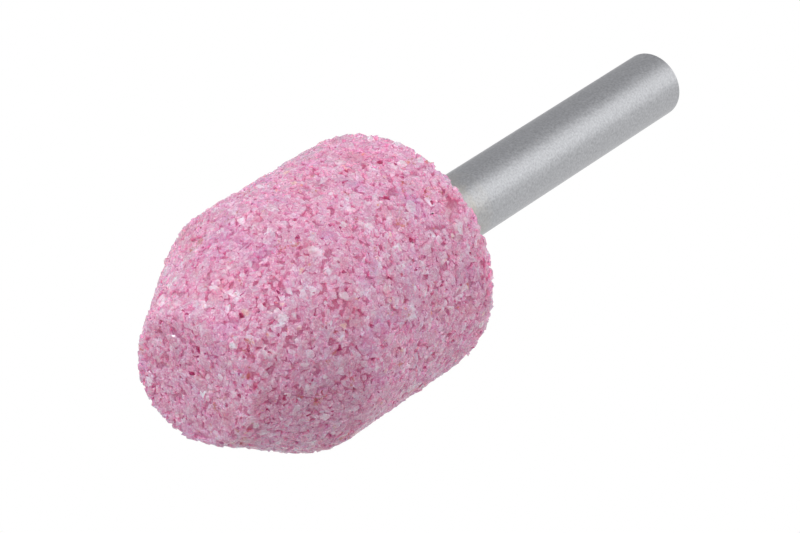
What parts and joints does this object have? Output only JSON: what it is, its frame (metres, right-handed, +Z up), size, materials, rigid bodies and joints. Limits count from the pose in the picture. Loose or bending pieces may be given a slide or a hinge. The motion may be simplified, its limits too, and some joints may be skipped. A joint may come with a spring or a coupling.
{
  "type": "mounted point",
  "caption": "Coarse pink vitrified abrasive stone with a flat nose, front bevel and rounded back edge, cemented on a plain round steel shank for a rotary grinder's collet.",
  "frame": {"origin": "centre of the flat nose, on which the tool stands", "axes": "+Z is up and is the tool's axis, from the nose towards the free end of the shank; every piece is turned about it, so X and Y are free"},
  "size_m": [0.0214, 0.0214, 0.0666],
  "materials": {
    "vitrified_abrasive": "matte",
    "shank_steel": "satin",
    "bonding_cement": "matte"
  },
  "bodies": {
    "root": {"abrasive_head": "vitrified_abrasive", "shank": "shank_steel", "cement": "bonding_cement"}
  },
  "joints": []
}
